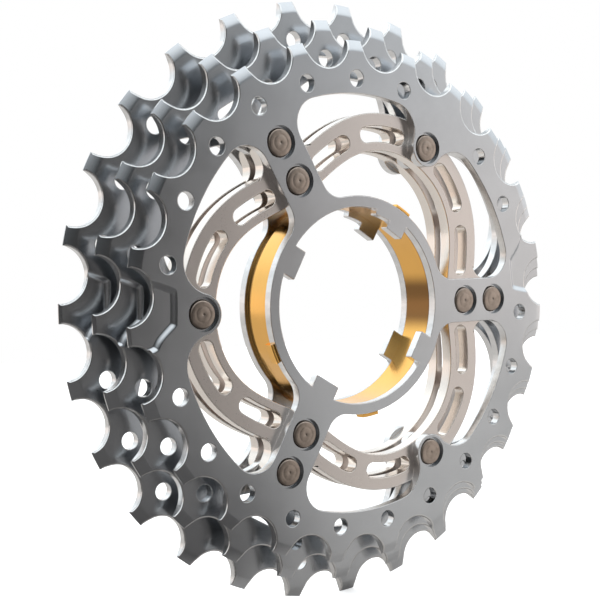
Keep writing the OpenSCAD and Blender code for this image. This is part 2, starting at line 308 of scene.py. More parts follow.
def toothed_loop(sizes, teeth, phase):
    """Outside of a sprocket, turning left."""
    tip = pitch_radius(sizes, teeth) + sizes.tip_rise
    centre = pitch_radius(sizes, teeth) - sizes.seat_depth + sizes.gap_radius
    half_gap = math.degrees(math.acos((tip**2 + centre**2 - sizes.gap_radius**2) / (2 * tip * centre)))
    end = polar(tip, half_gap)
    lean = heading(end - centre)
    step = 360 / teeth
    points = []
    for k in range(teeth):
        middle = phase + (k + 0.5) * step
        gap = arc(centre, sizes.gap_radius, -lean, lean - 360, 0.36)
        points += turned(gap, middle)
        points += arc(0, tip, middle + half_gap, middle + step - half_gap, 0.5)[1:-1]
    return cleaned(points)


def tab_corner(rivets, rim, fillet, end_radius):
    """Centre of the round corner between the low side of a tab at angle 0 and the rim."""
    reach = end_radius + fillet
    x = (rivets.outer_circle**2 + (rim - fillet) ** 2 - reach**2) / (2 * rivets.outer_circle)
    return complex(x, -math.sqrt((rim - fillet) ** 2 - x**2))


def splined_openings(windows, rivets, rim, arm_fillet, tab_end, tab_fillet):
    """The three windows between the splined ring, the arms and the rim, and the splined bore."""
    h = windows.arm
    ring_corner = 4.0
    c1 = complex(math.sqrt((windows.ring + ring_corner) ** 2 - (h + ring_corner) ** 2), h + ring_corner)
    c2 = complex(math.sqrt((rim - arm_fillet) ** 2 - (h + arm_fillet) ** 2), h + arm_fillet)
    tab = polar(rivets.outer_circle, 60)
    c3 = tab_corner(rivets, rim, tab_fillet, tab_end) * polar(1, 60)
    half = arc(0, windows.ring, 60, heading(c1))
    half += left_arc(c1, ring_corner, heading(c1) + 180, -90)
    half += line(complex(c1.real, h), complex(c2.real, h))
    half += left_arc(c2, arm_fillet, -90, heading(c2))
    half += arc(0, rim, heading(c2), heading(c3))
    half += left_arc(c3, tab_fillet, heading(c3), heading(tab - c3))
    half += right_arc(tab, tab_end, heading(c3 - tab), 240)
    window = half + mirrored(half, 60)
    return [cleaned(turned(window, a)) for a in ARM_ANGLES] + [splined_bore(windows)]


def open_middle(windows, rivets, rim, fillet):
    """The one large opening of the middle sprocket, round its arms and tabs."""
    h = windows.middle_arm
    inner = complex(rivets.inner_circle, 0)
    outer = complex(rivets.outer_circle, 0)
    c4 = tab_corner(rivets, rim, fillet, windows.tab).conjugate()
    c5 = c4.conjugate() * polar(1, 60)
    tab = outer * polar(1, 60)
    meet = complex(-math.sqrt(windows.tab**2 - h**2), h)
    half = right_arc(inner, h, 180, 90)
    half += line(inner + h * 1j, outer + meet)
    half += right_arc(outer, windows.tab, heading(meet), heading(c4 - outer))
    half += left_arc(c4, fillet, heading(outer - c4), heading(c4))
    half += arc(0, rim, heading(c4), heading(c5))
    half += left_arc(c5, fillet, heading(c5), heading(tab - c5))
    half += right_arc(tab, windows.tab, heading(c5 - tab), 240)
    sector = half + mirrored(half, 60)
    return cleaned([p for a in ARM_ANGLES for p in turned(sector, a)])


def splined_bore(windows):
    """The bore with three wide teeth and a narrow one beside a low step."""
    corner, step_corner = 0.3, 0.4
    wide, narrow = windows.spline_width / 2, windows.narrow_width / 2
    narrow_angle, wide_angles = 58, (150.5, 239.5, 329.5)
    step_end, step_edge = 76.5, 1.2

    def tooth(a, half, far_radius):
        foot = complex(math.sqrt(windows.bore**2 - half**2), half)
        top = complex(windows.spline_tip, half)
        back = complex(math.sqrt(far_radius**2 - half**2), half)
        rise = line(foot.conjugate(), top.conjugate(), 0.6)
        fall = line(top, back, 0.6)
        first = softened(rise[-2], top.conjugate(), 0j + windows.spline_tip, corner)
        second = softened(0j + windows.spline_tip, top, fall[1], corner)
        shape = turned(rise[:-1] + first + second + fall[1:], a)
        return shape, heading(back) + a, heading(foot.conjugate()) + a

    points = []
    teeth = [(narrow_angle, narrow, windows.step)]
    teeth += [(a, wide, windows.bore) for a in wide_angles]
    made = [tooth(*t) for t in teeth]
    for i, (shape, end, _) in enumerate(made):
        points += shape
        if i == 0:
            points += arc(0, windows.step, end, step_end - step_edge)
            before, edge = polar(windows.step, step_end - step_edge), polar(windows.step, step_end)
            points += softened(before, edge, polar(windows.bore, step_end), step_corner)
            end = step_end
        start_next = made[(i + 1) % len(made)][2]
        points += arc(0, windows.bore, end, unwrapped(start_next, end))
    return cleaned(points)


def near_arm(degrees):
    """How many degrees a direction is from the nearest arm."""
    return abs((degrees + 60) % 120 - 60)


def hole_loops(sizes, teeth, phase, clearance, skipped):
    """The row of small holes, one under each tooth."""
    radius = pitch_radius(sizes, teeth) - sizes.seat_depth - sizes.hole_inset
    return [
        circle(polar(radius, phase + k * 360 / teeth), sizes.hole_radius, 36)
        for k in range(teeth)
        if near_arm(phase + k * 360 / teeth) >= clearance and k not in skipped
    ]


def root_openings(tip, outer, half, radius=1.1):
    """Three-cornered openings in the roots of the arms, their tips towards the axis."""
    lean = math.degrees(math.atan2(half, outer - tip))
    shape = left_arc(complex(outer, -half), radius, -90 - lean, 0, 0.2)
    shape += left_arc(complex(outer, half), radius, 0, 90 + lean, 0.2)
    shape += left_arc(complex(tip, 0), radius, 90 + lean, 270 - lean, 0.2)
    return [turned(shape, a) for a in ARM_ANGLES]


def pocket_loop(sizes, teeth, centre_angle):
    """Rim of a shift pocket, which runs out past the teeth, as radii and degrees from its middle."""
    below_gaps, past_tips = 4.26, 2
    inner = pitch_radius(sizes, teeth) - sizes.seat_depth - below_gaps
    out = pitch_radius(sizes, teeth) + sizes.tip_rise + past_tips
    spread = sizes.front_teeth / teeth
    outline = (
        (inner + 0.35, -5.1), (inner, -4.4), (inner, 3.4), (inner + 0.25, 4.2), (inner + 1, 5),
        (inner + 2.1, 6.2), (inner + 3.2, 7.4), (inner + 3.8, 8.5), (inner + 4.1, 9.3),
        (out, 10.5), (out, -7), (inner + 4.8, -6.6), (inner + 1.2, -5.6),
    )
    loop = np.array([polar(r, centre_angle + a * spread) for r, a in outline])
    for _ in range(3):
        ahead = np.roll(loop, -1)
        loop = np.stack([0.75 * loop + 0.25 * ahead, 0.25 * loop + 0.75 * ahead], 1).ravel()
    return loop


# ---- Meshes ----


def linked(name, data):
    """New object of the scene."""
    made = bpy.data.objects.new(name, data)
    bpy.context.scene.collection.objects.link(made)
    return made


def plate_object(
    name, front_y, back_y, outline, holes, front_depth, back_depth, features, edges, sharp_beyond
):
    """A flat plate. Depths below its two faces are functions of the plane points, in millimetres. The outline
    and the holes get rounded edges of two widths, half as deep as they are wide. Beyond a radius the edges
    are shaded sharp. Points where the depth changes are given as feature curves."""
    loops = [cleaned(outline)] + [cleaned(h)[::-1] for h in holes]
    widths = [edges[0]] + [edges[1]] * len(holes)
    curves = loops + [offset_left(loop, width) for loop, width in zip(loops, widths)]
    first_feature = sum(len(c) for c in curves)
    curves += [np.asarray(f) for f in features]
    points, segments = [], []
    for curve in curves:
        start, count = len(points), len(curve)
        points += [Vector((p.real, p.imag)) for p in curve]
        segments += [(start + i, start + (i + 1) % count) for i in range(count)]
    made = delaunay_2d_cdt(points, segments, [], 0, 1e-5)
    flat = np.array([complex(v.x, v.y) for v in made[0]])
    triangles = np.array(made[2])
    middle = flat[triangles].mean(1)
    triangles = triangles[inside(middle, loops)]
    corners = flat[triangles]
    area = np.imag(np.conj(corners[:, 1] - corners[:, 0]) * (corners[:, 2] - corners[:, 0]))
    least_area = 1e-9
    triangles = triangles[area > least_area]
    uses = {}
    for t in triangles:
        for a, b in ((t[0], t[1]), (t[1], t[2]), (t[2], t[0])):
            uses.setdefault((min(a, b), max(a, b)), []).append((a, b))
    rim_edges = [way[0] for way in uses.values() if len(way) == 1]
    rim = np.zeros(len(flat), bool)
    rim[[v for e in rim_edges for v in e]] = True
    lowered = np.zeros(len(flat))
    near = np.array([i for i, o in enumerate(made[3]) if rim[i] or (o and min(o) >= first_feature)], int)
    gaps = [width - distance_to(flat[near], loop) for loop, width in zip(loops, widths)]
    lowered[near] = np.maximum(np.max(gaps, 0), 0) / 2
    front = front_depth(flat) + lowered
    back = back_depth(flat) + lowered
    used = np.zeros(len(flat), bool)
    used[triangles.ravel()] = True
    place = np.cumsum(used) - 1
    count = int(used.sum())
    near_face = np.stack([flat.real * MM, front_y + front * MM, flat.imag * MM], 1)[used]
    far_face = np.stack([flat.real * MM, back_y - back * MM, flat.imag * MM], 1)[used]
    faces = [tuple(int(place[i]) for i in t) for t in triangles]
    faces += [tuple(int(place[i]) + count for i in reversed(t)) for t in triangles]
    rim_ids = [(int(place[a]), int(place[b])) for a, b in rim_edges]
    walls = [(b, a, a + count, b + count) for a, b in rim_ids]
    mesh = bpy.data.meshes.new(name)
    mesh.from_pydata(np.vstack([near_face, far_face]).tolist(), [], faces + walls)
    soft = rim & (np.abs(flat) < sharp_beyond)
    rounded = soft[triangles].any(1)
    slots = np.concatenate([rounded, rounded, np.ones(len(walls), bool)]).astype(np.int32)
    mesh.polygons.foreach_set("material_index", slots)
    mesh.polygons.foreach_set("use_smooth", [True] * len(mesh.polygons))
    beside, along = outline_normals(flat, rim_edges)
    toward = face_normals(flat, triangles, front_depth, soft, beside, along)
    away = face_normals(flat, triangles, back_depth, soft, beside, along)[:, ::-1] * (1, -1, 1)
    sides = []
    for a, b in rim_edges:
        at_a, at_b = beside[a] or along[a, b], beside[b] or along[a, b]
        sides += [(n.real, 0, n.imag) for n in (at_b, at_a, at_a, at_b)]
    mesh.normals_split_custom_set(toward.reshape(-1, 3).tolist() + away.reshape(-1, 3).tolist() + sides)
    return linked(name, mesh)


def outline_normals(flat, rim_edges, sharp=50):
    """Outward direction at each point of the outlines, or None at a sharp corner, and that of each edge."""
    along = {(a, b): -1j * (flat[b] - flat[a]) / abs(flat[b] - flat[a]) for a, b in rim_edges}
    meeting = {}
    for (a, b), n in along.items():
        meeting.setdefault(a, []).append(n)
        meeting.setdefault(b, []).append(n)
    beside = {}
    for v, found in meeting.items():
        total = sum(found)
        agree = min(np.real(n * np.conj(found[0])) for n in found)
        beside[v] = total / abs(total) if agree > math.cos(math.radians(sharp)) else None
    return beside, along


def face_normals(flat, triangles, depth, rim, beside, along):
    """Normals at the corners of a face's triangles: square to the surface inside, and level with the plate at
    its rim, so that the edge looks round."""
    corners = flat[triangles]
    middle = corners.mean(1)[:, None]
    inward = middle - corners
    nudge, h = 0.03, 0.01
    at = (corners + inward * np.minimum(nudge / np.maximum(np.abs(inward), 1e-9), 0.5)).ravel()
    slope_x = (depth(at + h) - depth(at - h)) / (2 * h)
    slope_z = (depth(at + 1j * h) - depth(at - 1j * h)) / (2 * h)
    normals = np.stack([slope_x, -np.ones(len(at)), slope_z], 1)
    normals /= np.linalg.norm(normals, axis=1)[:, None]
    normals = normals.reshape(-1, 3, 3)
    for t in np.nonzero(rim[triangles].any(1))[0]:
        ids = [int(i) for i in triangles[t]]
        sides = zip(ids, ids[1:] + ids[:1])
        edge_normal = next((along[e] for e in sides if e in along), None)
        for j, v in enumerate(ids):
            if rim[v]:
                n = beside[v] or edge_normal
                if n is not None:
                    normals[t, j] = (n.real, 0, n.imag)
    return normals


def finished_object(name, mesh, sharp=50):
    """Object of a mesh with its normals put right: smooth over small angles, flat on large faces."""
    mesh.validate()
    solid = bmesh.new()
    solid.from_mesh(mesh)
    bmesh.ops.recalc_face_normals(solid, faces=solid.faces)
    solid.to_mesh(mesh)
    solid.free()
    mesh.polygons.foreach_set("use_smooth", [True] * len(mesh.polygons))
    mesh.set_sharp_from_angle(angle=math.radians(sharp))
    piece = linked(name, mesh)
    weights = piece.modifiers.new("Face weights", "WEIGHTED_NORMAL")
    weights.keep_sharp = True
    return piece


def lathe_mesh(name, profile, start=0, end=360, count=192):
    """Mesh of a closed profile of (radius, y) points in millimetres turned about the Y axis, with flat ends
    if it isn't a full turn."""
    whole = end - start >= 360
    rings = count if whole else count + 1
    vertices, faces = [], []
    for i in range(rings):
        a = math.radians(start + (end - start) * i / count)
        vertices += [(r * math.cos(a) * MM, y * MM, r * math.sin(a) * MM) for r, y in profile]
    size = len(profile)
    for i in range(count):
        here, there = i * size, (i + 1) % rings * size
        for j in range(size):
            k = (j + 1) % size
            faces.append((here + j, here + k, there + k, there + j))
    if not whole:
        faces += [tuple(range(size)), tuple(range((rings - 1) * size, rings * size))]
    mesh = bpy.data.meshes.new(name)
    mesh.from_pydata(vertices, [], faces)
    return mesh


def rounded_profile(points, radius, count=4):
    """Closed profile with its corners rounded."""
    flat = [complex(*p) for p in points]
    made = []
    for i, p in enumerate(flat):
        made += softened(flat[i - 1], p, flat[(i + 1) % len(flat)], radius, count)
    return [(p.real, p.imag) for p in made]


# ---- Shader maths ----


class Value:
    """A number that varies over a surface: sums and products of these add Math nodes."""

    def __init__(self, tree, socket):
        self.tree, self.socket = tree, socket

    def _math(self, operation, *others, clamp=False):
        node = self.tree.nodes.new("ShaderNodeMath")
        node.operation, node.use_clamp = operation, clamp
        for place, item in zip(node.inputs, others):
            if isinstance(item, Value):
                self.tree.links.new(item.socket, place)
            else:
                place.default_value = item
        return Value(self.tree, node.outputs[0])

    def __add__(self, other):
        return self._math("ADD", self, other)

    def __sub__(self, other):
        return self._math("SUBTRACT", self, other)

    def __rsub__(self, other):
        return self._math("SUBTRACT", other, self)

    def __mul__(self, other):
        return self._math("MULTIPLY", self, other)

    __radd__ = __add__
    __rmul__ = __mul__

    def held(self):
        """Kept between 0 and 1."""
        return self._math("ADD", self, 0.0, clamp=True)

    def sine(self):
        """Sine of the number in radians."""
        return self._math("SINE", self)

    def ramp(self, low, high):
        """0 below low, 1 above high, smooth between."""
        t = ((self - low) * (1 / (high - low))).held()
        return t * t * (3 - 2 * t)


class Finish:
    """A material or world under construction."""

    def __init__(self, owner):
        owner.use_nodes = True
        self.owner, self.tree = owner, owner.node_tree
        self.tree.nodes.clear()

    def node(self, kind, settings=None, sockets=None):
        """Adds a node. Its settings are set first, then the values or links of its sockets."""
        made = self.tree.nodes.new("ShaderNode" + kind)
        for key, item in (settings or {}).items():
            setattr(made, key, item)
        for key, item in (sockets or {}).items():
            if isinstance(item, Value):
                item = item.socket
            if isinstance(item, bpy.types.NodeSocket):
                self.tree.links.new(item, made.inputs[key])
            elif hasattr(item, "__len__") and made.inputs[key].type == "RGBA" and len(item) == 3:
                made.inputs[key].default_value = (*item, 1)
            else:
                made.inputs[key].default_value = item
        return made

    def out(self, kind, output, settings=None, sockets=None):
        """A node's output as a Value."""
        return Value(self.tree, self.node(kind, settings, sockets).outputs[output])

    def place(self, scale=(1, 1, 1)):
        """The object's own coordinates in millimetres, times a scale along each axis."""
        point = self.node("TexCoord").outputs["Object"]
        factors = tuple(s / MM for s in scale)
        return self.node("VectorMath", {"operation": "MULTIPLY"}, {0: point, 1: factors}).outputs[0]

    def noise(self, scale, detail, roughness, stretch=(1, 1, 1)):
        """Noise between 0 and 1, with a scale per millimetre."""
        sockets = {"Vector": self.place(stretch), "Scale": scale, "Detail": detail, "Roughness": roughness}
        return self.out("TexNoise", "Fac", None, sockets)

    def mix(self, factor, a, b):
        """Colour a to colour b."""
        return self.node("Mix", {"data_type": "RGBA"}, {"Factor": factor, 6: a, 7: b}).outputs[2]

    def bump(self, height, strength, distance):
        """Normal of a surface raised by a height."""
        sockets = {"Height": height, "Strength": strength, "Distance": distance}
        return self.node("Bump", None, sockets).outputs["Normal"]

    def metal(self, colour, roughness, normal):
        """Closes the material as a bare metal."""
        sockets = {"Base Color": colour, "Roughness": roughness, "Metallic": 1.0, "Normal": normal}
        shader = self.node("BsdfPrincipled", None, sockets)
        self.node("OutputMaterial", None, {"Surface": shader.outputs[0]})
        return self.owner


def colours():
    """The colours set in the panel."""
    return bpy.context.scene.cluster_colours


def shade(colour, factor):
    """A colour made darker or lighter."""
    return tuple(min(1.0, c * factor) for c in colour)


def satin_steel():
    """Plated faces: fine grain, faint cloudiness and a few hairline rub marks."""
    f = Finish(bpy.data.materials.new("satin_steel"))
    cloud = f.noise(0.09, 4.0, 0.6)
    grain = f.noise(3.2, 3.0, 0.7)
    rub = f.noise(0.5, 5.0, 0.65, (0.25, 1, 3.0)).ramp(0.60, 0.76)
    tone = f.mix(cloud.ramp(0.3, 0.7), shade(colours().steel, 0.94), shade(colours().steel, 1.04))
    tone = f.mix(rub * 0.25, tone, shade(colours().steel, 1.2))
    rough = 0.17 + 0.08 * cloud + 0.05 * grain - 0.03 * rub
    return f.metal(tone, rough, f.bump(grain, 0.05, 0.00002))


def cut_steel():
    """Punched edges: bright, with fine marks that run through the thickness."""
    f = Finish(bpy.data.materials.new("cut_steel"))
    marks = f.noise(2.6, 3.0, 0.6, (1, 0.06, 1))
    shear = f.noise(0.8, 2.0, 0.5, (1, 0.35, 1))
    tone = f.mix(shear.ramp(0.35, 0.7), shade(colours().cut_steel, 0.88), colours().cut_steel)
    rough = 0.13 + 0.13 * marks + 0.05 * shear
    return f.metal(tone, rough, f.bump(marks, 0.16, 0.00003))


def blasted_nickel():
    """Faces of the carriers: warm, matte and finely blasted."""
    f = Finish(bpy.data.materials.new("blasted_nickel"))
    speck = f.noise(4.5, 2.0, 0.7)
    cloud = f.noise(0.2, 3.0, 0.5)
    tone = f.mix(cloud, shade(colours().nickel, 0.95), shade(colours().nickel, 1.05))
    rough = 0.22 + 0.1 * speck + 0.05 * cloud
    return f.metal(tone, rough, f.bump(speck, 0.16, 0.00003))


def milled_nickel():
    """Edges and slot walls of the carriers: polished, with faint cutter lines."""
    f = Finish(bpy.data.materials.new("milled_nickel"))
    lines = f.noise(1.8, 2.0, 0.5, (0.35, 3.5, 0.35))
    cloud = f.noise(0.6, 2.0, 0.5)
    tone = f.mix(cloud, shade(colours().cut_nickel, 0.95), colours().cut_nickel)
    rough = 0.10 + 0.10 * lines + 0.05 * cloud
    return f.metal(tone, rough, f.bump(lines, 0.10, 0.00003))


def gold_anodising():
    """Spacer ring: satin gold over fine turning lines, with a painted dark reflection on the side towards +X.
    """
    f = Finish(bpy.data.materials.new("gold_anodising"))
    lines = f.noise(2.2, 3.0, 0.6, (0.08, 4.0, 0.08))
    cloud = f.noise(0.25, 3.0, 0.5)
    tone = f.mix(cloud, shade(colours().gold, 0.92), shade(colours().gold, 1.06))
    spot = f.node("SeparateXYZ", None, {0: f.place()})
    across, up = Value(f.tree, spot.outputs["X"]), Value(f.tree, spot.outputs["Z"])
    # Painted dark reflection: the ring's side towards +X is tinted dark brown, darkest about the middle height,
    # standing for a reflection of the dark room.
    painted_dark_reflection = across.ramp(12.5, 16.5) * up.ramp(-6.0, -2.6) * (1 - up.ramp(2.6, 6.0))
    tone = f.mix(painted_dark_reflection * 0.9, tone, (0.17, 0.085, 0.035))
    rough = 0.13 + 0.1 * lines + 0.05 * cloud
    return f.metal(tone, rough, f.bump(lines, 0.12, 0.00003))


def turned_bronze():
    """Rivet ends: warm grey with turning rings round the centre."""
    f = Finish(bpy.data.materials.new("turned_bronze"))
    across = f.place((1, 0, 1))
    radius = f.out("VectorMath", "Value", {"operation": "LENGTH"}, {0: across})
    wobble = f.noise(0.8, 2.0, 0.5)
    rings = (radius * 26 + wobble * 4).sine() * 0.5 + 0.5
    stain = f.noise(0.7, 4.0, 0.6)
    tone = f.mix(stain.ramp(0.3, 0.7), shade(colours().bronze, 0.85), shade(colours().bronze, 1.2))
    tone = f.mix((1 - radius.ramp(0.1, 0.5)) * 0.45, tone, shade(colours().bronze, 0.45))
    rough = 0.27 + 0.05 * rings + 0.08 * stain
    return f.metal(tone, rough, f.bump(rings * 0.25 + stain, 0.16, 0.00003))


FINISHES = {
    make.__name__: make
    for make in (satin_steel, cut_steel, blasted_nickel, milled_nickel, gold_anodising, turned_bronze)
}


def dressed(piece, node, slot, *finishes):
    """Gives a piece its finishes, rides it on the frame and lets it stand for its CAD node."""
    for name in finishes:
        piece.data.materials.append(bpy.data.materials.get(name) or FINISHES[name]())
    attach(piece, "root")
    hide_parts(node)
    return piece


# ---- Pieces ----


def turns_left(loop):
    """Whether a closed loop runs round to the left."""
    return np.sum(np.imag(np.conj(loop) * np.roll(loop, -1))) > 0


def build_sprocket(
    scene, which, openings, clearance, skipped, pockets, roots=(), sunk_front=False, sunk_back=False
):
    """One sprocket: teeth, bevelled tips, shift pockets, small holes, arm-root openings and rivet holes."""
    node = which + "_sprocket"
    sizes, rivets = scene.cluster_teeth, scene.cluster_rivets
    teeth, phase = getattr(sizes, which + "_teeth"), getattr(sizes, which + "_phase")
    low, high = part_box(node)
    pitch = pitch_radius(sizes, teeth)
    tip = pitch + sizes.tip_rise
    back_bevel_width, bevel_curve = 0.3, 1.5
    front_start, back_start = pitch - sizes.front_bevel_width, pitch - back_bevel_width
    centres = [polar(rivets.outer_circle, a) for a in ARM_ANGLES + TAB_ANGLES]
    centres += [polar(rivets.inner_circle, a) for a in ARM_ANGLES]
    sunk_wall = 0.04
    pocket_rims = [pocket_loop(sizes, teeth, a) for a in pockets]

    def sunk(points, depth):
        gap = np.min([np.abs(points - c) for c in centres], 0)
        return np.where(gap < rivets.sink - sunk_wall / 2, depth, 0.0)

    def front_depth(points):
        share = np.clip((np.abs(points) - front_start) / (tip - front_start), 0, 1)
        depth = sizes.front_bevel * share**bevel_curve
        for rim in pocket_rims:
            slope = smoothstep(distance_to(points, rim) / sizes.pocket_slope)
            depth = np.maximum(depth, np.where(inside(points, [rim]), sizes.pocket_depth * slope, 0))
        if sunk_front:
            depth = np.maximum(depth, sunk(points, rivets.sink_depth))
        return depth

    def back_depth(points):
        bevel = sizes.back_bevel * np.clip((np.abs(points) - back_start) / (tip - back_start), 0, 1)
        return np.maximum(bevel, sunk(points, rivets.sink_depth)) if sunk_back else bevel

    middles = [front_start + (tip - front_start) * share for share in (0.25, 0.5, 0.75)]
    features = [circle(0, radius, 6 * teeth) for radius in [front_start, back_start] + middles]
    for rim in pocket_rims:
        turn = 1 if turns_left(rim) else -1
        for share in (0.0, 0.2, 0.4, 0.6, 0.8, 1.0):
            inset = offset_left(rim, turn * share * sizes.pocket_slope)
            features.append(inset[distance_to(inset, rim) >= 0.97 * share * sizes.pocket_slope])
    if sunk_front or sunk_back:
        for c in centres:
            features += [circle(c, rivets.sink, 64), circle(c, rivets.sink - sunk_wall, 64)]
    holes = openings + hole_loops(sizes, teeth, phase, clearance, skipped) + list(roots)
    holes += [circle(c, rivets.shank, 64) for c in centres]
    tip_band = 0.05
    piece = plate_object(
        node + "_plate", low.y, high.y, toothed_loop(sizes, teeth, phase), holes,
        front_depth, back_depth, features, (sizes.tooth_round, sizes.edge_round), tip - tip_band,
    )
    return dressed(piece, node, "steel", "satin_steel", "cut_steel")


class CLUSTER_OT_front_sprocket(bpy.types.Operator):
    """Builds the smallest sprocket, at the front"""

    bl_idname = "cluster.front_sprocket"
    bl_label = "Front sprocket"

    def execute(self, context):
        windows, rivets = context.scene.cluster_windows, context.scene.cluster_rivets
        openings = splined_openings(
            windows, rivets, windows.front_rim, arm_fillet=4.6, tab_end=windows.tab, tab_fillet=5.5
        )
        build_sprocket(
            context.scene, "front", openings, clearance=0, skipped=(6, 18, 21), pockets=(7.5, 178.5),
            sunk_front=True,
        )
        return {"FINISHED"}


class CLUSTER_OT_middle_sprocket(bpy.types.Operator):
    """Builds the middle sprocket, whose arms end round the inner rivets"""

    bl_idname = "cluster.middle_sprocket"
    bl_label = "Middle sprocket"

    def execute(self, context):
        windows, rivets = context.scene.cluster_windows, context.scene.cluster_rivets
        openings = [open_middle(windows, rivets, windows.middle_rim, fillet=10.0)]
        build_sprocket(
            context.scene, "middle", openings, clearance=12, skipped=(6,), pockets=(5, 177.5),
            roots=root_openings(tip=38.6, outer=42, half=5.4),
        )
        return {"FINISHED"}


class CLUSTER_OT_rear_sprocket(bpy.types.Operator):
    """Builds the largest sprocket, at the rear"""

    bl_idname = "cluster.rear_sprocket"
    bl_label = "Rear sprocket"

    def execute(self, context):
        windows, rivets = context.scene.cluster_windows, context.scene.cluster_rivets
        openings = splined_openings(
            windows, rivets, windows.rear_rim, arm_fillet=11.4, tab_end=windows.arm, tab_fillet=11.4
        )
        build_sprocket(
            context.scene, "rear", openings, clearance=12, skipped=(7,), pockets=(2.5, 176.5),
            roots=root_openings(tip=39.4, outer=42.9, half=6.3), sunk_back=True,
        )
        return {"FINISHED"}


class CLUSTER_OT_carriers(bpy.types.Operator):
    """Builds the two wavy carriers with their slots and ears"""

    bl_idname = "cluster.carriers"
    bl_label = "Carriers"

    def execute(self, context):
        sizes, rivets = context.scene.cluster_carriers, context.scene.cluster_rivets
        ripple = 0.45

        def middle(a):
            """Point of the centreline, which waves three times round with a smaller wave on top."""
            swing = sizes.swing * math.cos(math.radians(3 * a))
            return polar(sizes.mean - swing + ripple * (1 - math.cos(math.radians(6 * a))), a)

        def side(a, distance):
            """Point at a distance outside the centreline."""
            along = middle(a + 0.5) - middle(a - 0.5)
            return middle(a) - 1j * along / abs(along) * distance

        def edge_radius(a):
            return abs(side(a, sizes.width / 2))

        outer, inner = complex(rivets.outer_circle, 0), complex(rivets.inner_circle, 0)
        corner_angle = 12.0
        for _ in range(8):
            reach = edge_radius(corner_angle) + sizes.ear_corner
            corner_angle = math.degrees(math.asin((sizes.ear + sizes.ear_corner) / reach))
        corner = polar(edge_radius(corner_angle) + sizes.ear_corner, corner_angle)
        half = arc(outer, sizes.ear, 0, 90)
        half += line(outer + sizes.ear * 1j, complex(corner.real, sizes.ear))
        half += right_arc(corner, sizes.ear_corner, -90, corner_angle + 180)
        steps = 34
        to_tab = [corner_angle + (60 - corner_angle) * i / steps for i in range(1, steps + 1)]
        half += [side(a, sizes.width / 2) for a in to_tab]
        sector = half + mirrored(half, 60)
        outline = [p for a in ARM_ANGLES for p in turned(sector, a)]
        inner_edge = [side(a, -sizes.width / 2) for a in np.arange(0, 360, 1.0)]

        def slot(start, end):
            """A slot whose round ends reach two directions on the centreline."""
            half_width = sizes.slot / 2
            a0 = start + math.degrees(math.asin(half_width / abs(middle(start))))
            a1 = end - math.degrees(math.asin(half_width / abs(middle(end))))
            angles = [a0 + (a1 - a0) * i / 14 for i in range(15)]
            out = [side(a, half_width - sizes.slot_shift) for a in angles]
            back = [side(a, -half_width - sizes.slot_shift) for a in reversed(angles)]
            c1, c0 = side(a1, -sizes.slot_shift), side(a0, -sizes.slot_shift)
            far = left_arc(c1, half_width, heading(out[-1] - c1), heading(back[0] - c1), 0.25)
            near = left_arc(c0, half_width, heading(back[-1] - c0), heading(out[0] - c0), 0.25)
            return cleaned(out + far + back + near)

        beside_arm, beside_tab = (10.3, 28.7), (33.5, 52)
        slots = [slot(*beside_arm), slot(*beside_tab)]
        slots += [np.conj(s)[::-1] for s in slots]
        holes = [s * polar(1, a) for a in ARM_ANGLES for s in slots]
        holes += [circle(outer * polar(1, a), rivets.shank, 64) for a in ARM_ANGLES + TAB_ANGLES]
        holes += [circle(inner * polar(1, a), rivets.shank, 64) for a in ARM_ANGLES]
        def level(points):
            return np.zeros(len(points))

        edges = (sizes.edge_round, sizes.edge_round)
        for node in ("front_carrier", "rear_carrier"):
            low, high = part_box(node)
            piece = plate_object(
                node + "_ring", low.y, high.y, outline, [np.array(inner_edge)] + holes,
                level, level, [], edges, math.inf,
            )
            dressed(piece, node, "carrier", "blasted_nickel", "milled_nickel")
        return {"FINISHED"}


class CLUSTER_OT_spacer_ring(bpy.types.Operator):
    """Builds the gold spacer ring with its rear step and three tongues"""

    bl_idname = "cluster.spacer_ring"
    bl_label = "Spacer ring"

    def execute(self, context):
        sizes, windows = context.scene.cluster_spacer, context.scene.cluster_windows
        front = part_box("front_sprocket")[1].y / MM
        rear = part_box("rear_sprocket")[0].y / MM
        outer, edge_round = 19.85, 0.12
        step = rear - sizes.step_width
        slope_start, slope_end = step - 0.3, step + 0.2
        profile = [
            (windows.bore, rear), (windows.bore, front), (outer, front), (outer, slope_start),
            (outer - sizes.step_depth, slope_end), (outer - sizes.step_depth, rear),
        ]
        mesh = lathe_mesh("spacer_ring_gold", rounded_profile(profile, edge_round))
        flat_angle, flat_start = 214, front + 1.4
        facing = polar(1, flat_angle)
        limit = (outer - sizes.flat) * MM
        for v in mesh.vertices:
            along = v.co.x * facing.real + v.co.z * facing.imag
            if along > limit and v.co.y > flat_start * MM:
                v.co.x *= limit / along
                v.co.z *= limit / along
        built = bmesh.new()
        built.from_mesh(mesh)
        gap = 0.02
        ring, root, reach = windows.ring + gap, outer - 0.2, front - sizes.tongue_reach
        top = ring + sizes.tongue
        tongue = [
            (root, front + 1.2), (root, front + gap), (ring, front + gap),
            (ring, reach), (top, reach), (top, front + 0.6),
        ]
        tongue_angles, half_angle, tongue_round = (58, 202, 276), 5, 0.1
        for a in tongue_angles:
            shape = rounded_profile(tongue, tongue_round, 2)
            part = lathe_mesh("tongue", shape, a - half_angle, a + half_angle, 12)
            built.from_mesh(part)
            bpy.data.meshes.remove(part)
        built.to_mesh(mesh)
        built.free()
        piece = finished_object("spacer_ring_gold", mesh)
        dressed(piece, "spacer_ring", "spacer", "gold_anodising")
        return {"FINISHED"}


